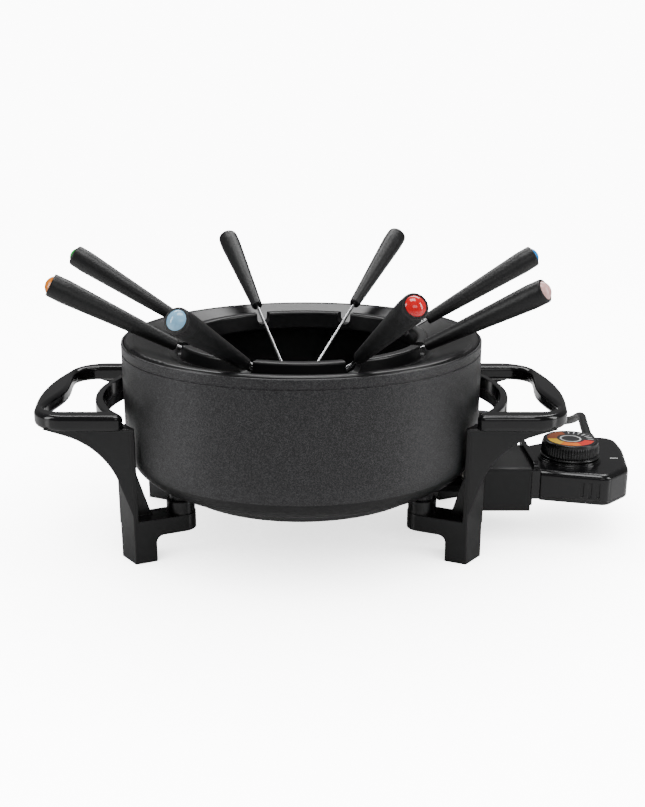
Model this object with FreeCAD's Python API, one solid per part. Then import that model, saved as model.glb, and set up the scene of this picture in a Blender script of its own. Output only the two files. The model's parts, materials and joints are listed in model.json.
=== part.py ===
"""An electric fondue set: a deep coated pot on two glossy handle frames, a fork ring with
eight forks, and a plug-in thermostat on a mains lead.

Everything is drawn about the pot's own axis, with the table at z = 0, and is then moved so
that the origin lies on the table under the middle of the set (without its lead)."""
import FreeCAD
import Part
import math
import os

V = FreeCAD.Vector
UP = V(0, 0, 1)
ALONG = V(1, 0, 0)

# ---- driving sizes, in millimetres -------------------------------------------------------
POT_R = 110.0            # outside of the pot's wall
POT_WALL = 3.5
POT_UNDER = 39.6         # height of the flat underside
POT_FLOOR = POT_UNDER + 5.4  # height of the cooking surface
POT_UNDER_R = POT_R - 27.1   # where the underside starts to rise
POT_CORNER = 23.5        # outer radius of the rounded shoulder
POT_CORNER_Z = POT_UNDER + 7.5      # height where the shoulder's two straight sides would meet
POT_INNER_CORNER = 18.0
RIM_Z = 125.5            # top of the lip round the ring
RIM_LEDGE = 3.0          # depth of the ledge that the ring rests on
RIM_LIP = 1.4            # thickness of the lip outside that ledge
BAND_H = 5.3             # height of the smooth band at the rim
BAND_GROOVE = 0.4

BASE_R = POT_UNDER_R - 1.3
BASE_BOTTOM = POT_UNDER - 4.9

ELEMENT_RING_R = BASE_R - 26.6
ELEMENT_TUBE_R = 2.8
ELEMENT_Z = POT_UNDER - 0.6
ELEMENT_GAP = 35.0       # half the open angle of the ring, degrees
ELEMENT_END_X = POT_R - 10.0
PIN_SPACING = 24.0       # between the two live terminal pins
PIN_R = 2.5
PIN_TIP_X = POT_R + 18.0
BEAD_R = PIN_R + 1.1
BEAD_LENGTH = 6.0
EARTH_R = 1.8
EARTH_Z = ELEMENT_Z - 2.0
EARTH_TIP_X = POT_R + 15.0

PROBE_R = 3.1
PROBE_TIP_X = POT_R - 44.0
PROBE_FIT = 0.1          # radial play of the probe in its well
WELL_R = PROBE_R + 1.4
WELL_END_X = POT_R - 7.0
WELL_CLOSED = 3.0        # length of the well's closed end

RING_PLAY = 0.3          # between the fork ring and the pot, all round
RING_TOP = RIM_Z + 1.1
RING_SHEET = 2.4
RING_SHOULDER_R = POT_R - 6.5
DISH_Z = RIM_Z - 7.5           # lowest level of the dish beside the collar
COLLAR_OUT_R = POT_R - 32.2
COLLAR_IN_R = COLLAR_OUT_R - 6.5
COLLAR_TOP = RIM_Z + 0.8
COLLAR_BOTTOM = RIM_Z - 10.5
NOTCH_WIDTH = 9.0
NOTCH_BOTTOM = RIM_Z - 6.9
FORKS = 8

HANDLE_LENGTH = 79.5
HANDLE_LOW_R = NOTCH_WIDTH / 2 - 0.6
HANDLE_TOP_R = 7.1
HANDLE_END_R = HANDLE_TOP_R - 0.5
CAP_R = HANDLE_END_R - 1.3
CAP_DOME = 2.8
CAP_SEAT = 2.0
CAP_PLAY = 0.1
SHAFT_R = 1.0
SHAFT_OUT = 4.8          # of the flattest fork's shaft that shows between notch and handle
SHAFT_TANG = 34.0        # length inside the handle
SHAFT_PLAY = 0.02
TINE_R = 0.7
TINE_SPREAD = 3.5        # between the two tines' centres
TINE_LENGTH = 30.0
TINE_POINT = 5.0
FORK_NOTCH_R = COLLAR_IN_R + 1.7      # distance from the pot's axis where each fork crosses the collar
FORK_NOTCH_Z = RIM_Z - 3.5
TINE_TIP_Z = POT_FLOOR + 1.3        # height of the tines' points, just over the cooking surface
# each fork's colour, how far it points away from straight out, and its slope, in degrees
FORK_LIES = (
    ("blue", 15.4, 30.2),
    ("yellow", 6.3, 30.5),
    ("white", 1.1, 30.0),
    ("green", -12.0, 30.1),
    ("orange", 13.2, 28.6),
    ("light_blue", 0.9, 28.2),
    ("red", 2.2, 30.5),
    ("pink", 7.4, 28.9),
)

GRIP_TOP = 92.2
GRIP_THICK = 9.4
GRIP_HALF_WIDTH = 65.3   # outer sides of the front and back bars
GRIP_ROOT_X = POT_R - 12.5
GRIP_CORNER_X = POT_R + 42.4    # where the bars' sides and the end's slanting sides would meet
GRIP_APEX_X = POT_R + 53.5      # where the end's two slanting sides would meet
GRIP_CORNER = 23.0
GRIP_END_R = 200.0
GRIP_HOLE_HALF = GRIP_HALF_WIDTH - 12.9
GRIP_HOLE_X = POT_R + 41.0
GRIP_HOLE_CORNER = 13.0
GRIP_SWELL = 2.0         # half the height of the palm swell on the finger side
GRIP_ROUND = 2.6         # rounding of the grip's edges
WALL_CENTRE_X = POT_R - 79.0     # centre of the curved wall between the legs
WALL_IN_R = 92.0
WALL_THICK = 4.5
WALL_TOP = GRIP_TOP - 1.5
WALL_BOTTOM = WALL_TOP - 15.0
WEB_FACE = GRIP_HALF_WIDTH - 2.7          # outer face of the web under each bar
WEB_THICK = 3.2

LEG_X = POT_R - 12.5             # the leg's outer front corner
LEG_Y = GRIP_HALF_WIDTH - 2.5
LEG_TURN = 24.0          # the arms point this many degrees off the line of the handles
LEG_DEPTH = 17.8         # across the arm
LEG_SKEW = 4.6           # how far the outer face leans out over that depth
FOOT_LENGTH = 13.2
LEG_PLATE = 3.3
ARM_TOP = 26.5
ARM_BOTTOM = 16.2
ARM_FILLET = 4.5
ARM_LENGTH = 31.0        # from the leg's corner to the boss
BOSS_R = 8.5
RIB_LENGTH = 13.3
RIB_DEPTH = 10.0         # from the arm's front face to the rib
RIB_THICK = 2.6
RIB_WAIST = (3.2, 60.0)  # length and height where the rib clears the pot's widest part
RIB_TOP_LENGTH = 1.0
BOSS_TOP = BASE_BOTTOM - 0.2
LUG_R = 6.5
LUG_PLAY = 0.7           # between a lug and the notch in the base plate's edge
SCREW_R = 2.0
SCREW_HEAD_R = 3.8
SCREW_HEAD_H = 2.6
SCREW_PLAY = 0.1
SCREW_DEPTH = 6.0        # how far the screw goes into its lug

BOX_END_X = POT_R + 31.0
BOX_IN_X = POT_R - 5.5
BOX_HALF = 28.0
BOX_TOP = ELEMENT_Z + 9.0
BOX_BOTTOM = BASE_BOTTOM - 15.0
BOX_WALL = 2.4
TONGUE_X = POT_R - 50.0
TONGUE_HALF = 22.0
TONGUE_Z = BASE_BOTTOM - 4.1
TONGUE_SCREW_X = POT_R - 32.0
TONGUE_SCREW_Y = 17.4
TONGUE_SCREW_R = 1.5
TONGUE_SCREW_DEPTH = 2.2
SEAT_GAP = 0.2           # between the tongue and the base plate

NOSE_GAP = 0.4           # between the nose and the inside of the socket
NOSE_IN_X = POT_R - 1.0
NOSE_HALF = BOX_HALF - 4.0
NECK_GAP = 0.3           # between the neck and the socket's end
NECK_END_X = BOX_END_X + 5.4
NECK_FRONT = 27.5
NECK_BACK = 24.0
NECK_BOTTOM = 28.0
GUARD_X = BOX_END_X + 1.6
GUARD_THICK = 3.0
GUARD_TOP = 50.8
GUARD_ROUND = 4.0
SLEEVE_WALL = 0.8
SLEEVE_LENGTH = 20.0
CONTACT_PLAY = 0.05

CASE_BOTTOM = 27.0
CASE_SPLIT = 29.6
CASE_SHOULDER = 43.2
CASE_TOP = 46.2
CASE_WALL = 2.2
CROWN_STEPS = 5          # levels of the rounded shoulder round the case's top face
# the paddle's outline seen from above: x, y and the radius of each corner
CASE_OUTLINE = (
    (NECK_END_X, -NECK_FRONT, 1.5), (POT_R + 75.5, -37.4, 8.0), (POT_R + 92.6, -21.0, 12.0),
    (POT_R + 99.5, 18.0, 40.0), (POT_R + 100.0, 43.0, 9.0), (POT_R + 70.0, 43.0, 20.0),
    (NECK_END_X, NECK_BACK, 1.5),
)
CASE_TOP_OUTLINE = (
    (NECK_END_X, -23.2, 1.5), (POT_R + 73.8, -32.6, 6.5), (POT_R + 88.8, -18.6, 10.0),
    (POT_R + 95.2, 18.0, 40.0), (POT_R + 95.6, 38.6, 7.0), (POT_R + 71.5, 38.6, 20.0),
    (NECK_END_X, 19.8, 1.5),
)
KNOB_X = POT_R + 59.5
KNOB_Y = -3.4
KNOB_TOP = 59.4
KNOB_BOTTOM = 48.6
KNOB_TOP_R = 17.2
KNOB_LOW_R = 18.2
KNOB_WALL = 2.0
KNOB_HUB_R = 5.5
BEZEL_STEPS = ((19.6, 1.0), (18.8, 2.0))    # radius and height over the case's top
DIAL_R = 15.8
DIAL_THICK = 0.8
SPINDLE_R = 3.0
SPINDLE_PLAY = 0.05
SPINDLE_BOTTOM = 38.4
SWITCH_SIZE = (26.0, 22.0, 8.0)
STRIP_SIZE = (30.0, 5.0, 0.8)
MARK_SIZE = (5.0, 0.9, 0.5)
MARK_X = POT_R + 85.5
CASE_GROOVES = 3         # upright finger grooves in the near wall
CASE_GROOVE_X = POT_R + 61.0    # the first one
CASE_GROOVE_STEP = 4.6
CASE_GROOVE_WIDTH = 1.8
CASE_GROOVE_DEPTH = 0.9
CASE_GROOVE_LOW = 31.4
CASE_GROOVE_HIGH = 41.0
CASE_SCREWS = ((POT_R + 43.5, -17.0), (POT_R + 82.0, -22.0), (POT_R + 84.0, 24.0))
CASE_SCREW_R = 1.4
CASE_SCREW_HEAD_R = 2.6
CASE_SCREW_HEAD_H = 1.5
CASE_POST_R = 3.2

CORD_R = 3.2
BOOT_START = V(POT_R + 87.6, 39.5, 36.1)
BOOT_END = V(POT_R + 91.4, 72.0, 35.2)
BOOT_R = 5.6
BOOT_TIP_R = 4.2
BOOT_COLLAR_R = 7.4
BOOT_COLLAR = 2.4
# the lead's route, from the boot's end to the coil
CORD_POINTS = (
    BOOT_END, V(206.0, 106.0, 36.0), V(213.5, 141.0, 32.5), V(215.0, 179.0, 15.0),
    V(198.0, 216.0, 3.2), V(160.0, 239.0, 3.2), V(113.0, 248.5, 3.2), V(62.0, 247.2, 3.2),
)
COIL_X = 50.0
COIL_Y = 205.0
COIL_MEAN_R = 37.3
COIL_HALF_WIDTH = 9.7    # two turns of a spiral lie side by side
COIL_HEIGHT = 13.1       # and a third lies on them
# the short end from the coil to the plug
TAIL_POINTS = (
    V(12.2, 196.0, 9.85), V(9.5, 174.0, 8.2), V(-6.0, 156.0, 7.0), V(-29.0, 150.0, 12.0),
    V(-52.0, 154.0, 18.5), V(-72.0, 160.0, 18.5),
)
PLUG_R = 18.5
PLUG_LENGTH = 24.0
PLUG_NECK_R = 5.4
PLUG_NECK = 16.0
PLUG_PIN_R = 2.4
PLUG_PIN_LENGTH = 19.0
PLUG_PIN_SPACING = 19.0
PLUG_PIN_ROOT = 8.0      # length of each pin's thinner root inside the plug
PLUG_PIN_ROOT_R = 2.0
PLUG_PIN_NECK = 0.5      # how far that root shows at the plug's face

nodes = {}


# ---- drawing helpers ---------------------------------------------------------------------
def flat(x, y):
    return V(x, y, 0)


def upright(x, z):
    return V(x, 0, z)


def rounded(points, place=flat):
    """A closed wire through corners (a, b, radius), each rounded by a tangent arc."""
    corners = []
    count = len(points)
    for i, (a, b, radius) in enumerate(points):
        here = V(a, b, 0)
        back = V(*points[i - 1][:2], 0) - here
        ahead = V(*points[(i + 1) % count][:2], 0) - here
        turn = math.pi - back.getAngle(ahead)
        reach = radius * math.tan(turn / 2)
        back.normalize()
        ahead.normalize()
        half = back + ahead
        half.normalize()
        middle = here + half * (radius / math.cos(turn / 2) - radius)
        corners.append((here + back * reach, middle, here + ahead * reach, radius))
    edges = []
    for i, (start, middle, end, radius) in enumerate(corners):
        if radius > 0:
            arc = Part.Arc(*[place(p.x, p.y) for p in (start, middle, end)])
            edges.append(arc.toShape())
        follow = corners[(i + 1) % count][0]
        if (follow - end).Length > 1e-6:
            edges.append(Part.LineSegment(place(end.x, end.y), place(follow.x, follow.y)).toShape())
    return Part.Wire(edges)


def prism(points, low, high):
    """A rounded outline in plan, standing from one height to another."""
    wire = rounded(points)
    wire.translate(V(0, 0, low))
    return Part.Face(wire).extrude(V(0, 0, high - low))


def spun(points):
    """A rounded outline of (radius, height) corners, spun round the z axis."""
    return Part.Face(rounded(points, upright)).revolve(V(0, 0, 0), UP, 360)


def post(radius, low, high, x=0.0, y=0.0):
    return Part.makeCylinder(radius, high - low, V(x, y, low), UP)


def rod(radius, x_low, x_high, y, z):
    return Part.makeCylinder(radius, x_high - x_low, V(x_low, y, z), ALONG)


def block(x_low, x_high, y_low, y_high, z_low, z_high):
    return Part.makeBox(x_high - x_low, y_high - y_low, z_high - z_low, V(x_low, y_low, z_low))


def joined(shapes):
    result = shapes[0]
    for shape in shapes[1:]:
        result = result.fuse(shape)
    return result.removeSplitter()


def mirrored_y(shape):
    return shape.mirror(V(0, 0, 0), V(0, 1, 0))


def mirrored_x(shape):
    return shape.mirror(V(0, 0, 0), V(1, 0, 0))


def put(name, *shapes):
    nodes[name] = shapes[0] if len(shapes) == 1 else Part.Compound(list(shapes))


def tube_along(points, radius):
    """A round tube of straight runs and tangent arcs; each arc is as large as its runs allow."""
    edges = []
    start = points[0]
    radii = []
    for before, here, after in zip(points, points[1:], points[2:]):
        back = before - here
        ahead = after - here
        run = min(back.Length, ahead.Length)
        turn = math.pi - back.getAngle(ahead)
        reach = 0.45 * run
        bend = reach / math.tan(turn / 2)
        radii.append(bend)
        back.normalize()
        ahead.normalize()
        half = back + ahead
        half.normalize()
        entry = here + back * reach
        leave = here + ahead * reach
        middle = here + half * (bend / math.cos(turn / 2) - bend)
        edges.append(Part.LineSegment(start, entry).toShape())
        edges.append(Part.Arc(entry, middle, leave).toShape())
        start = leave
    edges.append(Part.LineSegment(start, points[-1]).toShape())
    wire = Part.Wire(edges)
    ring = Part.Wire([Part.Circle(points[0], points[1] - points[0], radius).toShape()])
    tube = wire.makePipeShell([ring], True, False)
    straight = math.pi * radius**2 * wire.Length
    print("tube length %.1f, bends %s, volume ratio %.4f" % (
        wire.Length, ["%.0f" % r for r in radii], tube.Volume / straight))
    return tube


# ---- places that several pieces share ----------------------------------------------------
lean = math.radians(LEG_TURN)
INWARD = V(-math.cos(lean), math.sin(lean), 0)       # along a front right arm, towards the pot
ACROSS = V(math.sin(lean), math.cos(lean), 0)        # across it, towards the back
LEG_CORNER = V(LEG_X, -LEG_Y, 0)
BOSS = LEG_CORNER + ACROSS * (LEG_DEPTH / 2) + INWARD * ARM_LENGTH
BOSS_PLACES = [(sx * BOSS.x, sy * BOSS.y) for sx in (1, -1) for sy in (1, -1)]
PIN_Y = PIN_SPACING / 2
PROBE_Z = BASE_BOTTOM - WELL_R
WELL_BORE_R = PROBE_R + PROBE_FIT
LEDGE_Z = RIM_Z - RIM_LEDGE
FLATTEST = math.radians(min(slope for colour, skew, slope in FORK_LIES))
# from the tines' points to the handle
SHAFT_LENGTH = (FORK_NOTCH_Z - TINE_TIP_Z) / math.sin(FLATTEST) + SHAFT_OUT
LIP_IN_R = POT_R - RIM_LIP
POT_IN_R = POT_R - POT_WALL


# ---- the pot, its base and its heater ----------------------------------------------------
def element_tube(radius):
    """The heater's path: a ring open towards the socket, with both ends led out to it."""
    gap = math.radians(ELEMENT_GAP)
    end = V(ELEMENT_RING_R * math.cos(gap), ELEMENT_RING_R * math.sin(gap), ELEMENT_Z)
    heading = math.pi / 2 - gap
    bend = (end.y - PIN_Y) / (1 - math.cos(heading))
    straight_x = end.x + bend * math.sin(heading)
    centre = V(straight_x, PIN_Y + bend, ELEMENT_Z)
    middle = centre + V(-bend * math.sin(heading / 2), -bend * math.cos(heading / 2), 0)
    far = V(-ELEMENT_RING_R, 0, ELEMENT_Z)

    def other(p):
        return V(p.x, -p.y, p.z)

    tip = V(ELEMENT_END_X, PIN_Y, ELEMENT_Z)
    turn = V(straight_x, PIN_Y, ELEMENT_Z)
    wire = Part.Wire([
        Part.LineSegment(tip, turn).toShape(),
        Part.Arc(turn, middle, end).toShape(),
        Part.Arc(end, far, other(end)).toShape(),
        Part.Arc(other(end), other(middle), other(turn)).toShape(),
        Part.LineSegment(other(turn), other(tip)).toShape(),
    ])
    ring = Part.Wire([Part.Circle(tip, V(-1, 0, 0), radius).toShape()])
    return wire.makePipeShell([ring], True, False)


def make_pot():
    groove = RIM_Z - BAND_H
    profile = [
        (0, POT_UNDER, 0), (POT_UNDER_R, POT_UNDER, 4.0), (POT_R, POT_CORNER_Z, POT_CORNER),
        (POT_R, groove - 0.7, 0.3), (POT_R - BAND_GROOVE, groove - 0.4, 0),
        (POT_R - BAND_GROOVE, groove, 0), (POT_R, groove + 0.3, 0.3),
        (POT_R, RIM_Z, 0.6), (LIP_IN_R, RIM_Z, 0.3), (LIP_IN_R, LEDGE_Z, 0),
        (POT_IN_R, LEDGE_Z, 0), (POT_IN_R, POT_FLOOR, POT_INNER_CORNER), (0, POT_FLOOR, 0),
    ]
    pot = spun(profile)
    for x, y in BOSS_PLACES:
        lug = post(LUG_R, BOSS_TOP, POT_FLOOR - 1.0, x, y)
        pot = pot.fuse(lug)
    for x, y in BOSS_PLACES:
        pot = pot.cut(post(SCREW_R, BOSS_TOP - 1, BOSS_TOP + SCREW_DEPTH + 0.5, x, y))
    return pot.cut(element_tube(ELEMENT_TUBE_R + SCREW_PLAY))


def make_base():
    base = post(BASE_R, BASE_BOTTOM, POT_UNDER)
    edge = [e for e in base.Edges if abs(e.BoundBox.ZMax - BASE_BOTTOM) < 1e-6 and e.Closed]
    base = base.makeFillet(1.2, [edge[0]])
    for x, y in BOSS_PLACES:
        base = base.cut(post(LUG_R + LUG_PLAY, BASE_BOTTOM - 1, POT_UNDER + 1, x, y))
    for y in (TONGUE_SCREW_Y, -TONGUE_SCREW_Y):
        base = base.cut(post(TONGUE_SCREW_R, BASE_BOTTOM - 1, BASE_BOTTOM + TONGUE_SCREW_DEPTH,
                             TONGUE_SCREW_X, y))
    return base.cut(element_tube(ELEMENT_TUBE_R + SCREW_PLAY))


put("pot_body", make_pot())
put("base_plate", make_base())
put("heating_element", element_tube(ELEMENT_TUBE_R))
put("terminal_pins", *[rod(PIN_R, ELEMENT_END_X, PIN_TIP_X, y, ELEMENT_Z) for y in (PIN_Y, -PIN_Y)])
put("pin_beads", *[
    rod(BEAD_R, ELEMENT_END_X, ELEMENT_END_X + BEAD_LENGTH, y, ELEMENT_Z).cut(
        rod(PIN_R, ELEMENT_END_X - 1, ELEMENT_END_X + BEAD_LENGTH + 1, y, ELEMENT_Z))
    for y in (PIN_Y, -PIN_Y)])
put("earth_pin", rod(EARTH_R, BASE_R, EARTH_TIP_X, 0, EARTH_Z))
put("probe_well", rod(WELL_R, PROBE_TIP_X - WELL_CLOSED - 0.5, WELL_END_X, 0, PROBE_Z).cut(
    rod(WELL_BORE_R, PROBE_TIP_X - 0.5, WELL_END_X + 1, 0, PROBE_Z)))


# ---- the handle frames -------------------------------------------------------------------
def grip_hole():
    """The finger opening: straight sides, round corners and a palm swell at the far end."""
    corner_x = GRIP_HOLE_X - GRIP_HOLE_CORNER
    corner_y = GRIP_HOLE_HALF - GRIP_HOLE_CORNER
    side = GRIP_HOLE_CORNER * math.sqrt(0.5)
    start_x = WALL_CENTRE_X + WALL_IN_R / 2
    steps = 12
    swell = []
    for i in range(steps + 1):
        y = -corner_y + 2 * corner_y * i / steps
        dip = GRIP_SWELL * (1 + math.cos(math.pi * y / corner_y))
        swell.append(V(GRIP_HOLE_X - dip, y, 0))
    wave = Part.BSplineCurve()
    wave.interpolate(swell, InitialTangent=V(0, 1, 0), FinalTangent=V(0, 1, 0))
    low = V(corner_x, -GRIP_HOLE_HALF, 0)
    high = V(corner_x, GRIP_HOLE_HALF, 0)
    near = V(start_x, -GRIP_HOLE_HALF, 0)
    far = V(start_x, GRIP_HOLE_HALF, 0)
    return Part.Wire([
        Part.LineSegment(near, low).toShape(),
        Part.Arc(low, V(corner_x + side, -corner_y - side, 0), swell[0]).toShape(),
        wave.toShape(),
        Part.Arc(swell[-1], V(corner_x + side, corner_y + side, 0), high).toShape(),
        Part.LineSegment(high, far).toShape(),
        Part.LineSegment(far, near).toShape(),
    ])


def rim_edges(shape, heights):
    """The edges that lie flat at one of these heights."""
    found = []
    for edge in shape.Edges:
        box = edge.BoundBox
        if box.ZLength < 1e-4 and any(abs(box.ZMin - h) < 1e-4 for h in heights):
            found.append(edge)
    return found


def make_grip():
    inner_y = math.sqrt(WALL_IN_R**2 - (LEG_X + 11 - WALL_CENTRE_X)**2)
    outline = [
        (GRIP_ROOT_X, -GRIP_HALF_WIDTH, 4.0), (GRIP_CORNER_X, -GRIP_HALF_WIDTH, GRIP_CORNER),
        (GRIP_APEX_X, 0, GRIP_END_R), (GRIP_CORNER_X, GRIP_HALF_WIDTH, GRIP_CORNER),
        (GRIP_ROOT_X, GRIP_HALF_WIDTH, 4.0), (LEG_X + 11, inner_y, 0), (LEG_X + 11, -inner_y, 0),
    ]
    low = GRIP_TOP - GRIP_THICK
    slab = prism(outline, low, GRIP_TOP)
    hole = grip_hole()
    hole.translate(V(0, 0, low - 1))
    slab = slab.cut(Part.Face(hole).extrude(V(0, 0, GRIP_THICK + 2)))
    slab = slab.cut(post(WALL_IN_R, low - 1, GRIP_TOP + 1, WALL_CENTRE_X, 0))
    return slab.makeFillet(GRIP_ROUND, rim_edges(slab, (low, GRIP_TOP)))


def make_wall():
    outer = post(WALL_IN_R + WALL_THICK, WALL_BOTTOM, WALL_TOP, WALL_CENTRE_X, 0)
    outer = outer.makeFillet(1.2, rim_edges(outer, (WALL_TOP,)))
    wall = outer.cut(post(WALL_IN_R, WALL_BOTTOM - 1, WALL_TOP + 1, WALL_CENTRE_X, 0))
    reach = GRIP_HOLE_HALF + 4
    return wall.common(block(LEG_X, GRIP_APEX_X, -reach, reach, 0, GRIP_TOP))


def in_arm_plane(points, depth, thick):
    """A flat piece drawn along a front right arm as (distance, height), set back by depth."""
    corner = LEG_CORNER + ACROSS * depth

    def place(along, height):
        return corner + INWARD * along + V(0, 0, height)

    return Part.Face(rounded(points, place)).extrude(ACROSS * thick)


def make_leg():
    """The front right leg, its web, its arm and the boss under the pot."""
    far = ARM_LENGTH + BOSS_R
    side = in_arm_plane([
        (-LEG_SKEW - 2, 0, 0), (FOOT_LENGTH, 0, 0.8), (FOOT_LENGTH, ARM_BOTTOM, ARM_FILLET),
        (far + 2, ARM_BOTTOM, 0), (far + 2, ARM_TOP, 0), (-LEG_SKEW - 2, ARM_TOP, 0)],
        -1, LEG_DEPTH + 2)
    half = LEG_DEPTH / 2
    corners = [LEG_CORNER, LEG_CORNER + INWARD * ARM_LENGTH + INWARD * half,
               LEG_CORNER + ACROSS * LEG_DEPTH + INWARD * (ARM_LENGTH + half),
               LEG_CORNER + ACROSS * LEG_DEPTH - INWARD * LEG_SKEW]
    radii = (0.8, half - 0.1, half - 0.1, 1.6)
    plan = prism([(p.x, p.y, r) for p, r in zip(corners, radii)], 0, ARM_TOP)
    arm = side.common(plan)
    low = GRIP_TOP - GRIP_THICK + 1
    plate_end = LEG_CORNER + ACROSS * LEG_DEPTH - INWARD * LEG_SKEW
    plate = prism([
        (LEG_CORNER.x, LEG_CORNER.y, 0.8), (plate_end.x, plate_end.y, 0.8),
        ((plate_end + INWARD * LEG_PLATE).x, (plate_end + INWARD * LEG_PLATE).y, 0.6),
        ((LEG_CORNER + INWARD * LEG_PLATE).x, (LEG_CORNER + INWARD * LEG_PLATE).y, 0.6)],
        ARM_TOP - 5, low)
    rib = in_arm_plane([
        (-LEG_SKEW / 2, ARM_TOP - 2, 0), (RIB_LENGTH, ARM_TOP - 2, 0), (RIB_LENGTH, ARM_TOP, 0),
        (*RIB_WAIST, 60.0), (RIB_TOP_LENGTH, low, 0), (-LEG_SKEW / 2, low, 0)],
        RIB_DEPTH, RIB_THICK)
    boss = post(BOSS_R, ARM_BOTTOM + 1, BOSS_TOP, BOSS.x, BOSS.y)

    def at_front(x, z):
        return V(x, -WEB_FACE, z)

    web = Part.Face(rounded([
        (GRIP_CORNER_X - 5.4, low, 0), (LEG_X + 15.0, GRIP_TOP - 18.9, 45.0),
        (LEG_X + 4.0, GRIP_TOP - 50.3, 20.0), (LEG_X + 0.3, ARM_TOP + 4.5, 0),
        (LEG_X + 0.3, low, 0)], at_front)).extrude(V(0, WEB_THICK, 0))
    leg = joined([arm, plate, rib, boss, web])
    head_z = ARM_BOTTOM + SCREW_HEAD_H + 1.0
    leg = leg.cut(post(SCREW_R + SCREW_PLAY, 0, BOSS_TOP + 1, BOSS.x, BOSS.y))
    return leg.cut(post(SCREW_HEAD_R + 0.3, 0, head_z, BOSS.x, BOSS.y))


def make_screw(x, y):
    head_z = ARM_BOTTOM + SCREW_HEAD_H + 1.0
    head = post(SCREW_HEAD_R, head_z - SCREW_HEAD_H, head_z, x, y)
    shank = post(SCREW_R - 0.02, head_z - 1, BOSS_TOP + SCREW_DEPTH, x, y)
    slot = block(x - 0.5, x + 0.5, y - SCREW_HEAD_R, y + SCREW_HEAD_R, head_z - SCREW_HEAD_H - 1,
                 head_z - SCREW_HEAD_H + 1)
    return head.fuse(shank).removeSplitter().cut(slot)


leg = make_leg()
frame = joined([make_grip(), make_wall(), leg, mirrored_y(leg)])
put("right_handle_frame", frame)
put("left_handle_frame", mirrored_x(frame))
put("right_frame_screws", *[make_screw(x, y) for x, y in BOSS_PLACES if x > 0])
put("left_frame_screws", *[make_screw(x, y) for x, y in BOSS_PLACES if x < 0])


# ---- the socket that takes the thermostat ------------------------------------------------
def make_socket():
    box = block(BOX_IN_X, BOX_END_X, -BOX_HALF, BOX_HALF, BOX_BOTTOM, BOX_TOP)
    long_edges = [e for e in box.Edges if e.BoundBox.XLength > 1]
    box = box.makeFillet(1.6, long_edges)
    w = BOX_WALL
    box = box.cut(block(BOX_IN_X + w, BOX_END_X + 1, -BOX_HALF + w, BOX_HALF - w,
                        BOX_BOTTOM + w, BOX_TOP - w))
    top = BASE_BOTTOM - SEAT_GAP
    tongue = block(TONGUE_X, BOX_IN_X + 1, -TONGUE_HALF, TONGUE_HALF, TONGUE_Z, top)
    tongue = tongue.cut(block(TONGUE_X - 1, BOX_IN_X, -WELL_R - 1, WELL_R + 1, TONGUE_Z - 1, top + 1))
    box = box.fuse(tongue).removeSplitter()
    for y in (PIN_Y, -PIN_Y):
        box = box.cut(rod(BEAD_R, BOX_IN_X - 1, BOX_IN_X + w + 1, y, ELEMENT_Z))
    box = box.cut(rod(EARTH_R, BOX_IN_X - 1, BOX_IN_X + w + 1, 0, EARTH_Z))
    box = box.cut(rod(WELL_BORE_R + 0.3, BOX_IN_X - 1, BOX_IN_X + w + 1, 0, PROBE_Z))
    for y in (TONGUE_SCREW_Y, -TONGUE_SCREW_Y):
        box = box.cut(post(TONGUE_SCREW_R + SCREW_PLAY, TONGUE_Z - 1, top + 1, TONGUE_SCREW_X, y))
    return box


def make_tongue_screw(y):
    head = post(TONGUE_SCREW_R * 2, TONGUE_Z - 1.8, TONGUE_Z, TONGUE_SCREW_X, y)
    tip = BASE_BOTTOM + TONGUE_SCREW_DEPTH - 0.3
    shank = post(TONGUE_SCREW_R - 0.02, TONGUE_Z - 1, tip, TONGUE_SCREW_X, y)
    return head.fuse(shank).removeSplitter()


put("socket_housing", make_socket())
put("socket_screws", *[make_tongue_screw(y) for y in (TONGUE_SCREW_Y, -TONGUE_SCREW_Y)])


# ---- the fork ring -----------------------------------------------------------------------
def make_ring():
    out_r = LIP_IN_R - RING_PLAY
    skirt_out = POT_IN_R - RING_PLAY
    skirt_in = skirt_out - 2.0
    under = RING_TOP - RING_SHEET
    ring = spun([
        (out_r, LEDGE_Z, 0), (out_r, RING_TOP, 2.2), (RING_SHOULDER_R, RING_TOP, 5.0),
        (COLLAR_OUT_R + 3.4, DISH_Z, 3.0), (COLLAR_OUT_R, DISH_Z, 0.8),
        (COLLAR_OUT_R, COLLAR_TOP, 1.4), (COLLAR_IN_R, COLLAR_TOP, 1.4),
        (COLLAR_IN_R, COLLAR_BOTTOM, 0.8), (COLLAR_OUT_R + 2.0, COLLAR_BOTTOM, 2.0),
        (skirt_in, under - 0.6, 1.0), (skirt_in, LEDGE_Z - 4.5, 0.4),
        (skirt_out, LEDGE_Z - 4.5, 0.4), (skirt_out, LEDGE_Z, 0)])
    half = NOTCH_WIDTH / 2
    for k in range(FORKS):
        angle = 360.0 * (k + 0.5) / FORKS
        round_end = rod(half, COLLAR_IN_R - 3, COLLAR_OUT_R + 2, 0, NOTCH_BOTTOM + half)
        mouth = block(COLLAR_IN_R - 3, COLLAR_OUT_R + 2, -half, half, NOTCH_BOTTOM + half, RING_TOP + 5)
        notch = round_end.fuse(mouth)
        notch.rotate(V(0, 0, 0), UP, angle)
        ring = ring.cut(notch)
    return ring


put("fork_ring", make_ring())


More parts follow.
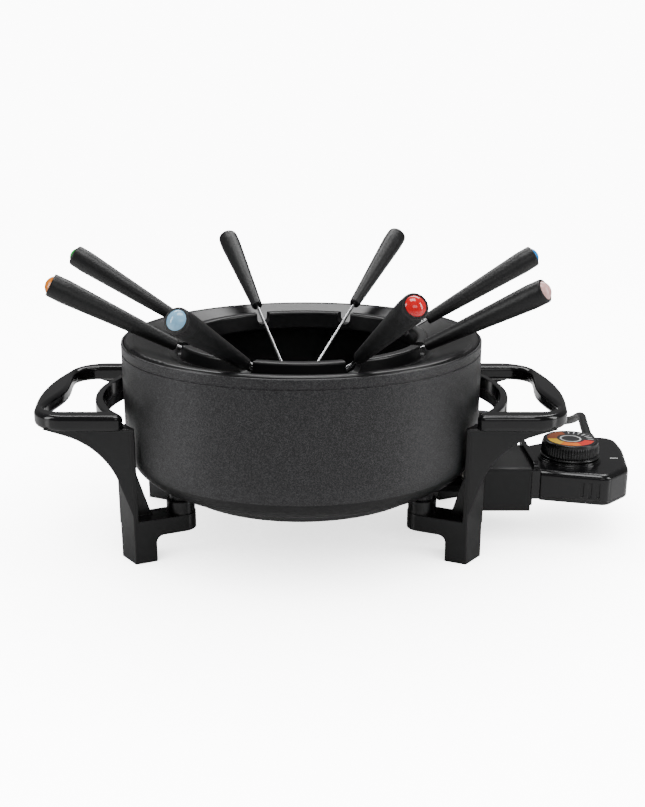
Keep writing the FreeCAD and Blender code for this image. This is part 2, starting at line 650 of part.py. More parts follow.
# ---- the forks ---------------------------------------------------------------------------
def fork_placement(k, skew, slope):
    """Where a fork drawn along +x from its tines' points belongs: in notch k, tips down."""
    notch = math.radians(360.0 * (k + 0.5) / FORKS)
    heading = notch - math.radians(skew)
    rise = math.radians(slope)
    along = V(math.cos(rise) * math.cos(heading), math.cos(rise) * math.sin(heading), math.sin(rise))
    level = V(-math.sin(heading), math.cos(heading), 0)
    crossing = V(FORK_NOTCH_R * math.cos(notch), FORK_NOTCH_R * math.sin(notch), FORK_NOTCH_Z)
    tip = crossing - along * ((FORK_NOTCH_Z - TINE_TIP_Z) / math.sin(rise))
    return FreeCAD.Placement(tip, FreeCAD.Rotation(along, level, along.cross(level), "XYZ"))


def make_handle():
    """A tapered handle with a rounded low end and a seat for its cap."""
    low = SHAFT_LENGTH
    high = low + HANDLE_LENGTH

    def along_x(x, r):
        return V(x, 0, r)

    profile = rounded([
        (low, 0, 0), (low, HANDLE_LOW_R - 0.3, 1.2), (low + 6.0, HANDLE_LOW_R, 20.0),
        (high - 9.0, HANDLE_TOP_R, 30.0), (high - 1.2, HANDLE_TOP_R - 0.2, 2.0),
        (high, HANDLE_END_R, 0.5),
        (high, CAP_R + CAP_PLAY, 0), (high - CAP_SEAT, CAP_R + CAP_PLAY, 0),
        (high - CAP_SEAT, 0, 0)], along_x)
    handle = Part.Face(profile).revolve(V(0, 0, 0), ALONG, 360)
    return handle.cut(rod(SHAFT_R + SHAFT_PLAY, low - 1, low + SHAFT_TANG + 0.5, 0, 0))


def make_cap():
    """A coloured button whose dome stands out of the handle's end."""
    high = SHAFT_LENGTH + HANDLE_LENGTH
    ball_r = (CAP_R**2 + CAP_DOME**2) / (2 * CAP_DOME)
    dome = Part.makeSphere(ball_r, V(high + CAP_DOME - ball_r, 0, 0))
    shank = rod(CAP_R, high - CAP_SEAT, high + CAP_DOME, 0, 0)
    return shank.common(dome)


def make_fork_shaft():
    """A thin steel shaft that ends in two pointed tines joined by a bridge."""
    shaft = rod(SHAFT_R, TINE_LENGTH, SHAFT_LENGTH + SHAFT_TANG, 0, 0)
    half = TINE_SPREAD / 2
    pieces = [shaft, Part.makeCylinder(TINE_R, TINE_SPREAD, V(TINE_LENGTH, -half, 0), V(0, 1, 0))]
    for y in (half, -half):
        pieces.append(Part.makeCone(0.12, TINE_R, TINE_POINT, V(0, y, 0), ALONG))
        pieces.append(rod(TINE_R, TINE_POINT, TINE_LENGTH, y, 0))
        pieces.append(Part.makeSphere(TINE_R, V(TINE_LENGTH, y, 0)))
    return joined(pieces)


fork_pieces = {"handle": make_handle(), "shaft": make_fork_shaft(), "cap": make_cap()}
for k, (colour, skew, slope) in enumerate(FORK_LIES):
    for piece, shape in fork_pieces.items():
        copy = shape.copy()
        copy.Placement = fork_placement(k, skew, slope).multiply(copy.Placement)
        put("%s_fork_%s" % (colour, piece), copy)


# ---- the thermostat ----------------------------------------------------------------------
SLEEVE_IN_R = PIN_R + CONTACT_PLAY
SLEEVE_OUT_R = SLEEVE_IN_R + SLEEVE_WALL


def make_nose():
    """The plug end: a nose that goes into the socket, a neck and an upright finger guard."""
    inner = BOX_WALL + NOSE_GAP
    nose = block(NOSE_IN_X, BOX_END_X + 2, -NOSE_HALF, NOSE_HALF, BOX_BOTTOM + inner, BOX_TOP - inner)
    neck_x = BOX_END_X + NECK_GAP
    neck = block(neck_x, NECK_END_X, -NECK_FRONT, NECK_BACK, NECK_BOTTOM, CASE_TOP)

    def across(y, z):
        return V(GUARD_X, y, z)

    guard = Part.Face(rounded([
        (-NECK_FRONT + 2.5, CASE_TOP - 3, 0), (NECK_BACK - 1.5, CASE_TOP - 3, 0),
        (NECK_BACK - 1.5, GUARD_TOP, GUARD_ROUND), (-NECK_FRONT + 2.5, GUARD_TOP, GUARD_ROUND)],
        across)).extrude(V(GUARD_THICK, 0, 0))
    body = joined([nose, neck, guard])
    for y in (PIN_Y, -PIN_Y):
        body = body.cut(rod(SLEEVE_OUT_R, NOSE_IN_X - 1, NOSE_IN_X + 1.5 + SLEEVE_LENGTH, y, ELEMENT_Z))
    body = body.cut(rod(EARTH_R + CONTACT_PLAY, NOSE_IN_X - 1, EARTH_TIP_X + 1, 0, EARTH_Z))
    return body.cut(rod(PROBE_R, NOSE_IN_X - 1, NECK_END_X + 1, 0, PROBE_Z))


def inset(points, low, high):
    """The paddle's outline drawn in by the case's wall."""
    wire = rounded(points).makeOffset2D(-CASE_WALL)
    wire.translate(V(0, 0, low))
    return Part.Face(wire).extrude(V(0, 0, high - low))


def make_case_top():
    body = prism(CASE_OUTLINE, CASE_SPLIT, CASE_SHOULDER)
    levels = []
    for i in range(CROWN_STEPS + 1):
        angle = math.radians(90.0 * i / CROWN_STEPS)
        inward = 1 - math.cos(angle)
        outline = [
            tuple(a + (b - a) * inward for a, b in zip(wide, narrow))
            for wide, narrow in zip(CASE_OUTLINE, CASE_TOP_OUTLINE)]
        level = rounded(outline)
        level.translate(V(0, 0, CASE_SHOULDER + (CASE_TOP - CASE_SHOULDER) * math.sin(angle)))
        levels.append(level)
    crown = Part.makeLoft(levels, True, True)
    inner = inset(CASE_OUTLINE, CASE_SPLIT - 1, CASE_SHOULDER - 0.4)
    body = body.cut(inner).fuse(crown)
    for radius, rise in BEZEL_STEPS:
        body = body.fuse(post(radius, CASE_TOP - 0.5, CASE_TOP + rise, KNOB_X, KNOB_Y))
    for x, y in CASE_SCREWS:
        pillar = post(CASE_POST_R, CASE_SPLIT, CASE_SHOULDER, x, y)
        body = body.fuse(pillar)
    body = body.removeSplitter()
    body = body.cut(post(SPINDLE_R + SPINDLE_PLAY, CASE_SPLIT, KNOB_TOP, KNOB_X, KNOB_Y))
    for x, y in CASE_SCREWS:
        body = body.cut(post(CASE_SCREW_R, CASE_SPLIT - 1, CASE_SPLIT + 9, x, y))
    body = body.cut(boot_shape(0.0))
    mark = block(*mark_span(), CASE_TOP - MARK_SIZE[2], CASE_TOP + 1)
    body = body.cut(mark)
    for i in range(CASE_GROOVES):
        body = body.cut(case_groove(CASE_GROOVE_X + i * CASE_GROOVE_STEP))
    return body


def case_groove(x):
    """A short upright groove in the paddle's near wall."""
    near = V(*CASE_OUTLINE[0][:2], 0)
    far = V(*CASE_OUTLINE[1][:2], 0)
    line = far - near
    line.normalize()
    outward = V(line.y, -line.x, 0)
    middle = near + line * ((x - near.x) / line.x)
    start = middle - line * (CASE_GROOVE_WIDTH / 2) - outward * CASE_GROOVE_DEPTH
    corners = [start, start + line * CASE_GROOVE_WIDTH]
    corners += [p + outward * (CASE_GROOVE_DEPTH + 1) for p in reversed(corners)]
    return prism([(p.x, p.y, 0) for p in corners], CASE_GROOVE_LOW, CASE_GROOVE_HIGH)


def mark_span():
    half = MARK_SIZE[1] / 2
    return MARK_X, MARK_X + MARK_SIZE[0], KNOB_Y - half, KNOB_Y + half


def make_case_bottom():
    plate = prism(CASE_OUTLINE, CASE_BOTTOM, CASE_SPLIT)
    plate = plate.makeFillet(1.0, rim_edges(plate, (CASE_BOTTOM,)))
    for x, y in CASE_SCREWS:
        plate = plate.cut(post(CASE_SCREW_R + SCREW_PLAY, CASE_BOTTOM - 1, CASE_SPLIT + 1, x, y))
        plate = plate.cut(post(CASE_SCREW_HEAD_R + SCREW_PLAY, CASE_BOTTOM - 1,
                               CASE_BOTTOM + CASE_SCREW_HEAD_H, x, y))
    plate = plate.cut(rod(PROBE_R, NECK_END_X - 1, NECK_END_X + 4, 0, PROBE_Z))
    return plate.cut(boot_shape(0.0))


def make_case_screw(x, y):
    head = post(CASE_SCREW_HEAD_R, CASE_BOTTOM + 0.2, CASE_BOTTOM + CASE_SCREW_HEAD_H, x, y)
    shank = post(CASE_SCREW_R - 0.02, CASE_BOTTOM + 1, CASE_SPLIT + 8.5, x, y)
    return head.fuse(shank).removeSplitter()


def boot_shape(grow):
    """The strain relief: a tapered sleeve with a collar inside the case."""
    axis = BOOT_END - BOOT_START
    length = axis.Length
    sleeve = Part.makeCone(BOOT_R + grow, BOOT_TIP_R + grow, length, BOOT_START, axis)
    inside = V(axis)
    inside.normalize()
    collar = Part.makeCylinder(BOOT_COLLAR_R + grow, BOOT_COLLAR, BOOT_START - inside * 1.5, axis)
    return sleeve.fuse(collar).removeSplitter()


def make_knob():
    shell = Part.makeCone(KNOB_LOW_R, KNOB_TOP_R, KNOB_TOP - KNOB_BOTTOM, V(KNOB_X, KNOB_Y, KNOB_BOTTOM), UP)
    roof = KNOB_TOP - DIAL_THICK - KNOB_WALL
    hollow = post(KNOB_TOP_R - KNOB_WALL, KNOB_BOTTOM - 1, roof, KNOB_X, KNOB_Y)
    hub = post(KNOB_HUB_R, KNOB_BOTTOM, roof + 0.5, KNOB_X, KNOB_Y)
    knob = shell.cut(hollow).fuse(hub).removeSplitter()
    knob = knob.makeFillet(0.8, rim_edges(knob, (KNOB_TOP,)))
    knob = knob.cut(post(DIAL_R + CAP_PLAY, KNOB_TOP - DIAL_THICK, KNOB_TOP + 1, KNOB_X, KNOB_Y))
    return knob.cut(post(SPINDLE_R, KNOB_BOTTOM - 1, roof - 0.2, KNOB_X, KNOB_Y))


put("thermostat_nose", make_nose())
put("contact_sleeves", *[
    rod(SLEEVE_OUT_R, NOSE_IN_X + 1, NOSE_IN_X + 1 + SLEEVE_LENGTH, y, ELEMENT_Z).cut(
        rod(SLEEVE_IN_R, NOSE_IN_X, NOSE_IN_X + 2 + SLEEVE_LENGTH, y, ELEMENT_Z))
    for y in (PIN_Y, -PIN_Y)])
put("probe", rod(PROBE_R, PROBE_TIP_X, NECK_END_X + 2.5, 0, PROBE_Z))
case_top = make_case_top().cut(rod(PROBE_R, NECK_END_X - 1, NECK_END_X + 4, 0, PROBE_Z))
put("thermostat_top", case_top)
put("thermostat_bottom", make_case_bottom())
put("thermostat_screws", *[make_case_screw(x, y) for x, y in CASE_SCREWS])
put("switch_block", block(KNOB_X - SWITCH_SIZE[0] / 2, KNOB_X + SWITCH_SIZE[0] / 2,
                          KNOB_Y - SWITCH_SIZE[1] / 2, KNOB_Y + SWITCH_SIZE[1] / 2,
                          CASE_SPLIT, CASE_SPLIT + SWITCH_SIZE[2]))
strip_z = CASE_SPLIT + SWITCH_SIZE[2]
put("bimetal_strip", block(KNOB_X - STRIP_SIZE[0] / 2 - 3, KNOB_X + STRIP_SIZE[0] / 2 - 3,
                           KNOB_Y + SPINDLE_R + 1.5, KNOB_Y + SPINDLE_R + 1.5 + STRIP_SIZE[1],
                           strip_z, strip_z + STRIP_SIZE[2]))
put("pointer_mark", block(*mark_span(), CASE_TOP - MARK_SIZE[2], CASE_TOP + 0.05))
put("knob_spindle", post(SPINDLE_R, SPINDLE_BOTTOM, KNOB_TOP - DIAL_THICK - KNOB_WALL - 0.4, KNOB_X, KNOB_Y))
put("knob", make_knob())
put("dial_plate", post(DIAL_R, KNOB_TOP - DIAL_THICK, KNOB_TOP, KNOB_X, KNOB_Y))
boot_hole = Part.makeCylinder(CORD_R, 60, BOOT_START - (BOOT_END - BOOT_START) * 0.2, BOOT_END - BOOT_START)
put("strain_relief", boot_shape(0.0).cut(boot_hole))


# ---- the lead and its plug ---------------------------------------------------------------
def make_coil():
    """The outer shape of the coiled lead: a low ring with rounded edges."""
    low = COIL_MEAN_R - COIL_HALF_WIDTH
    high = COIL_MEAN_R + COIL_HALF_WIDTH
    ring = spun([(low, 0, 2.6), (high, 0, 2.6), (high, COIL_HEIGHT, 5.0), (low, COIL_HEIGHT, 5.0)])
    ring.translate(V(COIL_X, COIL_Y, 0))
    return ring


def plug_frame():
    """The plug's placement: its rear at the end of the tail, level, its face pointing away."""
    out = TAIL_POINTS[-1] - TAIL_POINTS[-2]
    out.z = 0
    out.normalize()
    side = UP.cross(out)
    start = V(TAIL_POINTS[-1].x, TAIL_POINTS[-1].y, PLUG_R)
    return FreeCAD.Placement(start, FreeCAD.Rotation(out, side, UP, "XYZ"))


def make_plug():
    """A round moulded plug: a tapered rear, a drum and two sockets for its pins."""
    total = PLUG_NECK + PLUG_LENGTH

    def along_x(x, r):
        return V(x, 0, r)

    plug = Part.Face(rounded([
        (0, 0, 0), (0, PLUG_NECK_R, 1.0), (PLUG_NECK * 0.5, PLUG_NECK_R + 1.5, 6.0),
        (PLUG_NECK + 4.0, PLUG_R - 1.0, 6.0), (PLUG_NECK + 9.0, PLUG_R, 2.0),
        (total, PLUG_R, 1.5), (total, 0, 0)], along_x)).revolve(V(0, 0, 0), ALONG, 360)
    for y in (PLUG_PIN_SPACING / 2, -PLUG_PIN_SPACING / 2):
        plug = plug.cut(rod(PLUG_PIN_ROOT_R, total - PLUG_PIN_ROOT, total + 1, y, 0))
    return plug


def make_plug_pin(y):
    total = PLUG_NECK + PLUG_LENGTH
    root = rod(PLUG_PIN_ROOT_R, total - PLUG_PIN_ROOT, total + PLUG_PIN_NECK + 1, y, 0)
    pin = rod(PLUG_PIN_R, total + PLUG_PIN_NECK, total + PLUG_PIN_LENGTH, y, 0).fuse(root)
    tip = [e for e in pin.Edges if e.Closed and abs(e.BoundBox.XMin - total - PLUG_PIN_LENGTH) < 1e-6]
    return pin.makeChamfer(0.6, [tip[0]])


put("power_cord", tube_along(CORD_POINTS, CORD_R))
put("cord_coil", make_coil())
put("cord_tail", tube_along(TAIL_POINTS, CORD_R))
placement = plug_frame()
for name, shapes in (("plug_body", [make_plug()]),
                     ("plug_pins", [make_plug_pin(y) for y in (PLUG_PIN_SPACING / 2, -PLUG_PIN_SPACING / 2)])):
    for shape in shapes:
        shape.Placement = placement.multiply(shape.Placement)
    put(name, *shapes)


# ---- move everything to the set's own origin, check it and write it ----------------------
LEAD_NODES = ("power_cord", "cord_coil", "cord_tail", "plug_body", "plug_pins")
whole = Part.Compound([shape for name, shape in nodes.items() if name not in LEAD_NODES])
box = whole.optimalBoundingBox(True, False)
shift = V(-(box.XMin + box.XMax) / 2, -(box.YMin + box.YMax) / 2, 0)
print("pot axis at %.3f, %.3f" % (shift.x, shift.y))
os.makedirs("parts", exist_ok=True)
for name, shape in nodes.items():
    shape.translate(shift)
    solids = shape.Solids
    print("%-24s solids %d valid %s volume %.0f" % (name, len(solids), shape.isValid(), shape.Volume))
    shape.exportStep("parts/%s.step" % name)
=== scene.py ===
import json
import math

import bpy
import numpy as np
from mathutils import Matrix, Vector


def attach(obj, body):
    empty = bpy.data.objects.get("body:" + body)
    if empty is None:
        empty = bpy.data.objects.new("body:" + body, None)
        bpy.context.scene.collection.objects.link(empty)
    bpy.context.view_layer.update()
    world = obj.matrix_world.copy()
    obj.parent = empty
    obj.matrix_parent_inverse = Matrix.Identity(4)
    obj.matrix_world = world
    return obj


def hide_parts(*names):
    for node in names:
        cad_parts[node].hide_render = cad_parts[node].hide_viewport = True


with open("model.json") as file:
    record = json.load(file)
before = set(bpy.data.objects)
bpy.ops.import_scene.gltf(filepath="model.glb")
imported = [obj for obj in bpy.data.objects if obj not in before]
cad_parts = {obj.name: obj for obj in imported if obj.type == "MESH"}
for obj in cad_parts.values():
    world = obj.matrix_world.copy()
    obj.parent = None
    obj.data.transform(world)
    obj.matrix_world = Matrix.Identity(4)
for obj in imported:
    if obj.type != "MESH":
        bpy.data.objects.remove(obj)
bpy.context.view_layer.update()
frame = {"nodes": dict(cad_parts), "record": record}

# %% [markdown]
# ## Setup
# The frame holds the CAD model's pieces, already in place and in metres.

MM = 0.001
# The model's origin is under the middle of the set, so the pot's own axis stands off it.
POT_X, POT_Y = -24.594, 0.984


def at(x, y, z):
    """A place given in mm about the pot's axis, as metres about the model's origin."""
    return Vector(((x + POT_X) * MM, (y + POT_Y) * MM, z * MM))


# %% [markdown]
# ## Camera
# The lens looks down by 16 degrees from 0.66 m away, straight along +Y. A camera this close makes
# the near fork handles look clearly larger than the far ones.

# %% Camera
CAMERA_PLACE = (12.73, -615.64, 257.93)     # mm about the pot's axis
LOOK_DOWN = 16.0                            # degrees below level
LENS = 45.4                                 # mm, on a 36 mm sensor
cam_data = bpy.data.cameras.new("camera")
cam_data.sensor_width = 36.0
cam_data.lens = LENS
camera = bpy.data.objects.new("camera", cam_data)
camera.location = at(*CAMERA_PLACE)
camera.rotation_euler = (math.radians(90.0 - LOOK_DOWN), 0.0, 0.0)
bpy.context.scene.collection.objects.link(camera)
bpy.context.scene.camera = camera
print("camera at", tuple(round(v, 4) for v in camera.location))

# %% [markdown]
# ## Cord
# One open spline runs from the boot on the thermostat, round the back of the pot, through the coil
# and on to the plug. It could be modelled as a mesh tube, but a curve stays smooth and needs only a
# few control points. The coil is a spiral with a second layer: the radius shrinks by one pitch per
# turn, so that neighbouring turns never cross, and the last turn climbs on top of the first two.

# %% Cord
CORD_D = 6.4
COIL_CENTRE = (50.0, 205.0)
COIL_OUTER = 43.8       # radius of the outermost turn's middle
COIL_PITCH = 6.5
COIL_TURNS = 3.25
COIL_START = 78.0       # degrees
POINTS_PER_TURN = 16
route = [
    (201.4, 72.0, 35.2), (206.0, 106.0, 36.0), (213.5, 141.0, 32.5), (215.0, 179.0, 15.0),
    (198.0, 216.0, 3.2), (160.0, 239.0, 3.2), (113.0, 248.5, 3.2),
]
tail = [
    (9.5, 174.0, 8.2), (-6.0, 156.0, 7.0), (-29.0, 150.0, 12.0), (-52.0, 154.0, 18.5),
    (-72.0, 160.0, 18.5),
]


def ease(t, start, end):
    """0 before start, 1 after end, and a smooth S between: 3u^2 - 2u^3."""
    u = min(max((t - start) / (end - start), 0.0), 1.0)
    return u * u * (3.0 - 2.0 * u)


def coil_points(centre, outer, pitch, per_turn, first_angle, turns):
    """Control points of the coil: r = outer - pitch * t for two turns, then up and out again.

    The points stand outside the curve, so r is divided by cos(pi / per_turn)."""
    grow = 1.0 / math.cos(math.pi / per_turn)
    points = []
    for i in range(int(round(turns * per_turn)) + 1):
        t = i / per_turn
        r = outer - pitch * min(t, 2.0) + 7.0 * ease(t, 2.32, 2.75)
        z = 3.2 + 6.65 * ease(t, 2.0, 2.26)
        a = math.radians(first_angle) + 2.0 * math.pi * t
        points.append((centre[0] + grow * r * math.cos(a), centre[1] + grow * r * math.sin(a), z))
    return points


coil = coil_points(COIL_CENTRE, COIL_OUTER, COIL_PITCH, POINTS_PER_TURN, COIL_START, COIL_TURNS)
cord_curve = bpy.data.curves.new("power_cord_shown", "CURVE")
cord_curve.dimensions = "3D"
spline = cord_curve.splines.new("NURBS")
cord_points = route + coil + tail
spline.points.add(len(cord_points) - 1)
for point, place in zip(spline.points, cord_points):
    point.co = (*at(*place), 1.0)
    point.radius = CORD_D / 2 * MM
spline.order_u = 3
spline.use_endpoint_u = True
spline.resolution_u = 6
cord_curve.bevel_depth = 1.0        # times each point's own radius
cord_curve.bevel_resolution = 6
cord_curve.use_fill_caps = True
power_cord = bpy.data.objects.new("power_cord_shown", cord_curve)
bpy.context.scene.collection.objects.link(power_cord)
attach(power_cord, "thermostat")
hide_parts("power_cord", "cord_coil", "cord_tail")
print("cord control points", len(cord_points))

# %% [markdown]
# ## Studio
# A white room with nothing else in it. Black parts in a white room turn grey, because they mirror
# it. So the floor and backdrop glow white only where they are looked at directly. What the parts
# mirror is a dim grey room with a few soft boxes, which draw the highlights. Ambient occlusion
# darkens the floor softly close to the parts, as a contact shadow would.

# %% Floor and backdrop
SHADE_REACH = 0.16      # metres
FLOOR_GLOW = (0.9, 11.0)     # strength right under a part, and in the open
BACKDROP_GLOW = 14.0
ROOM_LIGHT = 0.17
floor_mat = bpy.data.materials.new("floor_white")
floor_mat.use_nodes = True
tree = floor_mat.node_tree
bsdf = tree.nodes["Principled BSDF"]
bsdf.inputs["Base Color"].default_value = (0.8, 0.8, 0.8, 1.0)
bsdf.inputs["Roughness"].default_value = 0.12
bsdf.inputs["Specular IOR Level"].default_value = 0.3
seen = tree.nodes.new("ShaderNodeLightPath")
near = tree.nodes.new("ShaderNodeAmbientOcclusion")
near.samples = 8
near.inputs["Distance"].default_value = SHADE_REACH
shade = tree.nodes.new("ShaderNodeMapRange")
shade.inputs["To Min"].default_value = FLOOR_GLOW[0]
shade.inputs["To Max"].default_value = FLOOR_GLOW[1]
tree.links.new(near.outputs["AO"], shade.inputs["Value"])
glow = tree.nodes.new("ShaderNodeMath")
glow.operation = "MULTIPLY"
tree.links.new(seen.outputs["Is Camera Ray"], glow.inputs[0])
tree.links.new(shade.outputs["Result"], glow.inputs[1])
bsdf.inputs["Emission Color"].default_value = (1.0, 1.0, 1.0, 1.0)
tree.links.new(glow.outputs[0], bsdf.inputs["Emission Strength"])

bpy.ops.mesh.primitive_plane_add(size=8.0, location=(0.0, 0.0, 0.0))
floor = bpy.context.object
floor.name = "floor"
floor.data.materials.append(floor_mat)

world = bpy.data.worlds.new("studio")
world.use_nodes = True
tree = world.node_tree
room = tree.nodes["Background"]
room.inputs["Color"].default_value = (1.0, 1.0, 1.0, 1.0)
room.inputs["Strength"].default_value = ROOM_LIGHT
white = tree.nodes.new("ShaderNodeBackground")
white.inputs["Strength"].default_value = BACKDROP_GLOW
seen = tree.nodes.new("ShaderNodeLightPath")
either = tree.nodes.new("ShaderNodeMixShader")
tree.links.new(seen.outputs["Is Camera Ray"], either.inputs[0])
tree.links.new(room.outputs[0], either.inputs[1])
tree.links.new(white.outputs[0], either.inputs[2])
tree.links.new(either.outputs[0], tree.nodes["World Output"].inputs["Surface"])
bpy.context.scene.world = world


# %% Soft boxes
def soft_box(name, place, target, width, height, power):
    """A rectangular light that faces the target."""
    data = bpy.data.lights.new(name, "AREA")
    data.shape = "RECTANGLE"
    data.size = width
    data.size_y = height
    data.energy = power
    lamp = bpy.data.objects.new(name, data)
    lamp.location = place
    lamp.rotation_euler = (Vector(target) - Vector(place)).to_track_quat("-Z", "Y").to_euler()
    bpy.context.scene.collection.objects.link(lamp)
    return lamp


soft_box("back_box", (0.0, 0.75, 0.95), (0.0, 0.0, 0.08), 1.3, 0.35, 10.0)
soft_box("top_box", (0.0, -0.1, 1.25), (0.0, 0.0, 0.05), 0.7, 0.5, 9.0)
soft_box("left_box", (-1.1, -0.35, 0.55), (0.0, 0.0, 0.06), 0.3, 0.9, 6.0)
soft_box("right_box", (1.1, -0.3, 0.55), (0.0, 0.0, 0.06), 0.3, 0.9, 7.0)
soft_box("front_box", (0.3, -1.2, 0.75), (0.0, 0.0, 0.06), 0.8, 0.5, 3.0)
print("floor, world and five soft boxes")

# %% [markdown]
# ## Shared shader parts
# Three small node groups are built once and used by many finishes: fine moulded grain, the metal
# flakes in the pot's coating, and the faint unevenness that every handled surface has.

# %% Node group helpers
class Net:
    """Builds a node tree with short calls: add a node, set its inputs, link sockets."""

    def __init__(self, tree):
        self.tree = tree

    def add(self, kind, inputs=None, **settings):
        node = self.tree.nodes.new(kind)
        for key, value in settings.items():
            setattr(node, key, value)
        for key, value in (inputs or {}).items():
            if isinstance(value, bpy.types.NodeSocket):
                self.tree.links.new(value, node.inputs[key])
            else:
                node.inputs[key].default_value = value
        return node

    def math(self, operation, a, b=0.0, clamp=False):
        node = self.add("ShaderNodeMath", {0: a, 1: b}, operation=operation, use_clamp=clamp)
        return node.outputs[0]

    def mix(self, factor, a, b):
        node = self.add("ShaderNodeMix", data_type="RGBA")
        for index, value in ((0, factor), (6, a), (7, b)):
            if isinstance(value, bpy.types.NodeSocket):
                self.tree.links.new(value, node.inputs[index])
            else:
                node.inputs[index].default_value = value
        return node.outputs[2]


def group(name, inputs, outputs):
    """An empty node group with these sockets, as (tree, net, input node, output node)."""
    tree = bpy.data.node_groups.new(name, "ShaderNodeTree")
    for label, kind, value in inputs:
        socket = tree.interface.new_socket(label, in_out="INPUT", socket_type="NodeSocket" + kind)
        if value is not None:
            socket.default_value = value
    for label, kind in outputs:
        tree.interface.new_socket(label, in_out="OUTPUT", socket_type="NodeSocket" + kind)
    net = Net(tree)
    return tree, net, net.add("NodeGroupInput"), net.add("NodeGroupOutput")


# %% Grain: fine bumps of moulded plastic
grain, net, inp, out = group(
    "Grain", [("Place", "Vector", None), ("Under", "Vector", None), ("Scale", "Float", 2500.0),
              ("Height", "Float", 0.1)],
    [("Normal", "Vector"), ("Value", "Float")])
noise = net.add("ShaderNodeTexNoise", {"Vector": inp.outputs["Place"], "Scale": inp.outputs["Scale"],
                                       "Detail": 2.0, "Roughness": 0.5})
bump = net.add("ShaderNodeBump", {"Strength": inp.outputs["Height"], "Distance": 0.0002,
                                  "Height": noise.outputs["Fac"], "Normal": inp.outputs["Under"]})
net.tree.links.new(bump.outputs["Normal"], out.inputs["Normal"])
net.tree.links.new(noise.outputs["Fac"], out.inputs["Value"])

# %% Flakes: each cell of a Voronoi pattern is one metal flake with its own tilt and brightness
flakes, net, inp, out = group(
    "Flakes", [("Place", "Vector", None), ("Scale", "Float", 1800.0), ("Share", "Float", 0.2)],
    [("Spark", "Float"), ("Normal", "Vector")])
cells = net.add("ShaderNodeTexVoronoi", {"Vector": inp.outputs["Place"], "Scale": inp.outputs["Scale"]})
parts = net.add("ShaderNodeSeparateColor", {"Color": cells.outputs["Color"]})
lit = net.math("LESS_THAN", parts.outputs["Red"], inp.outputs["Share"])
spark = net.math("MULTIPLY", lit, parts.outputs["Green"])
bump = net.add("ShaderNodeBump", {"Strength": 0.25, "Distance": 0.0002,
                                  "Height": parts.outputs["Blue"]})
net.tree.links.new(spark, out.inputs["Spark"])
net.tree.links.new(bump.outputs["Normal"], out.inputs["Normal"])

# %% Uneven: slow changes of roughness, and a little dust that settles on faces that look up
uneven, net, inp, out = group(
    "Uneven", [("Place", "Vector", None), ("Base", "Float", 0.4), ("Spread", "Float", 0.06),
               ("Dust", "Float", 0.0)],
    [("Roughness", "Float"), ("Dust", "Float")])
slow = net.add("ShaderNodeTexNoise", {"Vector": inp.outputs["Place"], "Scale": 28.0, "Detail": 3.0})
fine = net.add("ShaderNodeTexNoise", {"Vector": inp.outputs["Place"], "Scale": 260.0, "Detail": 2.0})
centred = net.math("SUBTRACT", net.math("ADD", slow.outputs["Fac"], fine.outputs["Fac"]), 1.0)
rough = net.math("ADD", inp.outputs["Base"], net.math("MULTIPLY", centred, inp.outputs["Spread"]), True)
normal = net.add("ShaderNodeNewGeometry")
upward = net.add("ShaderNodeSeparateXYZ", {"Vector": normal.outputs["Normal"]})
lying = net.math("MULTIPLY", net.math("MAXIMUM", upward.outputs["Z"], 0.0), inp.outputs["Dust"])
speck = net.math("MULTIPLY", lying, fine.outputs["Fac"])
net.tree.links.new(rough, out.inputs["Roughness"])
net.tree.links.new(speck, out.inputs["Dust"])
print("node groups", [g.name for g in bpy.data.node_groups])


# %% [markdown]
# ## Finishes
# Every finish starts from the same recipe: a Principled shader whose roughness comes from the
# Uneven group and whose bumps come from the Grain group. Constants stay on the shader's sockets.

# %% The common recipe
def finish(name, color, rough, spread=0.06, metallic=0.0, coat=0.0, coat_rough=0.05, specular=0.5,
           grain_scale=2500.0, grain_height=0.0, dust=0.0, tint=None, soft_edge=0.0):
    """A procedural finish. Returns the material with its net and shader for further work."""
    mat = bpy.data.materials.new(name)
    mat.use_nodes = True
    net = Net(mat.node_tree)
    bsdf = mat.node_tree.nodes["Principled BSDF"]
    place = net.add("ShaderNodeTexCoord").outputs["Object"]
    wear = net.add("ShaderNodeGroup", node_tree=uneven)
    net.tree.links.new(place, wear.inputs["Place"])
    wear.inputs["Base"].default_value = rough
    wear.inputs["Spread"].default_value = spread
    wear.inputs["Dust"].default_value = dust
    net.tree.links.new(wear.outputs["Roughness"], bsdf.inputs["Roughness"])
    dusty = net.mix(wear.outputs["Dust"], (*color, 1.0), (*(tint or (0.5, 0.5, 0.5)), 1.0))
    net.tree.links.new(dusty, bsdf.inputs["Base Color"])
    if soft_edge > 0.0:
        under = net.add("ShaderNodeBevel", {"Radius": soft_edge}, samples=6).outputs["Normal"]
    else:
        under = net.add("ShaderNodeNewGeometry").outputs["Normal"]
    if grain_height > 0.0:
        bumps = net.add("ShaderNodeGroup", node_tree=grain)
        net.tree.links.new(place, bumps.inputs["Place"])
        net.tree.links.new(under, bumps.inputs["Under"])
        bumps.inputs["Scale"].default_value = grain_scale
        bumps.inputs["Height"].default_value = grain_height
        under = bumps.outputs["Normal"]
    net.tree.links.new(under, bsdf.inputs["Normal"])
    bsdf.inputs["Metallic"].default_value = metallic
    bsdf.inputs["Coat Weight"].default_value = coat
    bsdf.inputs["Coat Roughness"].default_value = coat_rough
    bsdf.inputs["Specular IOR Level"].default_value = specular
    return mat, net, bsdf, place


